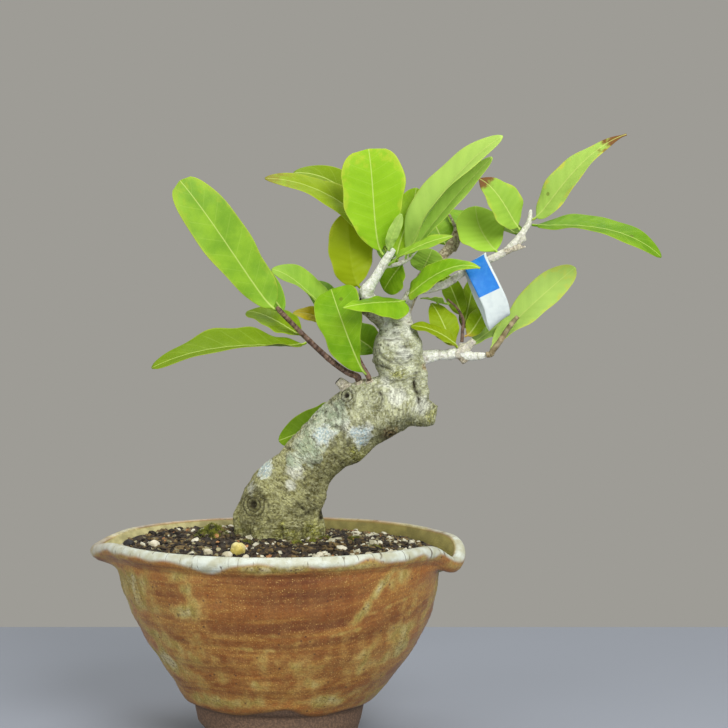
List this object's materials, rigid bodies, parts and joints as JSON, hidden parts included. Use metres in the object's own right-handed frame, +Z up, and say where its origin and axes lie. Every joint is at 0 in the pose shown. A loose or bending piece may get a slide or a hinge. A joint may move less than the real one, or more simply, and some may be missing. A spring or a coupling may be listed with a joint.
{
  "type": "star magnolia bonsai",
  "caption": "Star magnolia bonsai: a slanting pale trunk with broad oval leaves, growing in a hand-thrown oval pot with a pulled rim, with a blank name band on a branch.",
  "frame": {"origin": "under the middle of the whole tree and pot, on the surface that the pot stands on", "axes": "+Z up; +X to the right as the tree leans; -Y towards the viewer, the side the picture shows"},
  "size_m": [0.3211, 0.162, 0.3418],
  "materials": {
    "glaze": "mottled red-brown and ash-yellow glaze, cream on the rim, bare brown clay at the foot",
    "soil": "dark grainy bonsai soil with white pumice",
    "bark": "pale grey-beige bark with dark fissures and old ringed cuts",
    "young_bark": "smooth dark brown bark of young shoots",
    "leaf": "satin yellow-green leaf with a pale midrib",
    "band": "white plastic with a plain blue section",
    "screen": "dark green plastic mesh"
  },
  "bodies": {
    "root": {"pot": "glaze", "soil": "soil", "trunk": "bark", "name_band": "band", "drain_screen_left": "screen", "drain_screen_right": "screen", "shoot_left": "young_bark", "shoot_inner": "young_bark", "shoot_low": "young_bark", "shoot_dark": "young_bark", "leaf_left_high": "leaf", "leaf_left_long": "leaf", "leaf_left_back": "leaf", "leaf_pale_left": "leaf", "leaf_yellow": "leaf", "leaf_broad": "leaf", "leaf_behind_neck": "leaf", "leaf_low_back": "leaf", "leaf_top_upright": "leaf", "leaf_top_left": "leaf", "leaf_top_left_back": "leaf", "leaf_olive": "leaf", "leaf_top_right": "leaf", "leaf_top_right_low": "leaf", "leaf_top_mid_back": "leaf", "leaf_small_pale": "leaf", "leaf_narrow": "leaf", "leaf_front_left": "leaf", "leaf_front_right": "leaf", "leaf_inner_green": "leaf", "leaf_inner_pale": "leaf", "leaf_under_branch": "leaf", "leaf_edge_on": "leaf", "leaf_round": "leaf", "leaf_brown_tip": "leaf", "leaf_dark_back": "leaf", "leaf_dry_tip": "leaf", "leaf_far_right": "leaf", "leaf_right_low": "leaf", "leaf_right_small": "leaf", "leaf_behind_label": "leaf", "leaf_yellow_green": "leaf", "leaf_beside_neck": "leaf", "leaf_tuft_left": "leaf", "leaf_tuft_right": "leaf", "leaf_rear_top": "leaf", "leaf_rear_broad": "leaf", "leaf_rear_right": "leaf", "leaf_rear_middle": "leaf", "leaf_rear_left": "leaf", "leaf_rear_low": "leaf"}
  },
  "joints": []
}
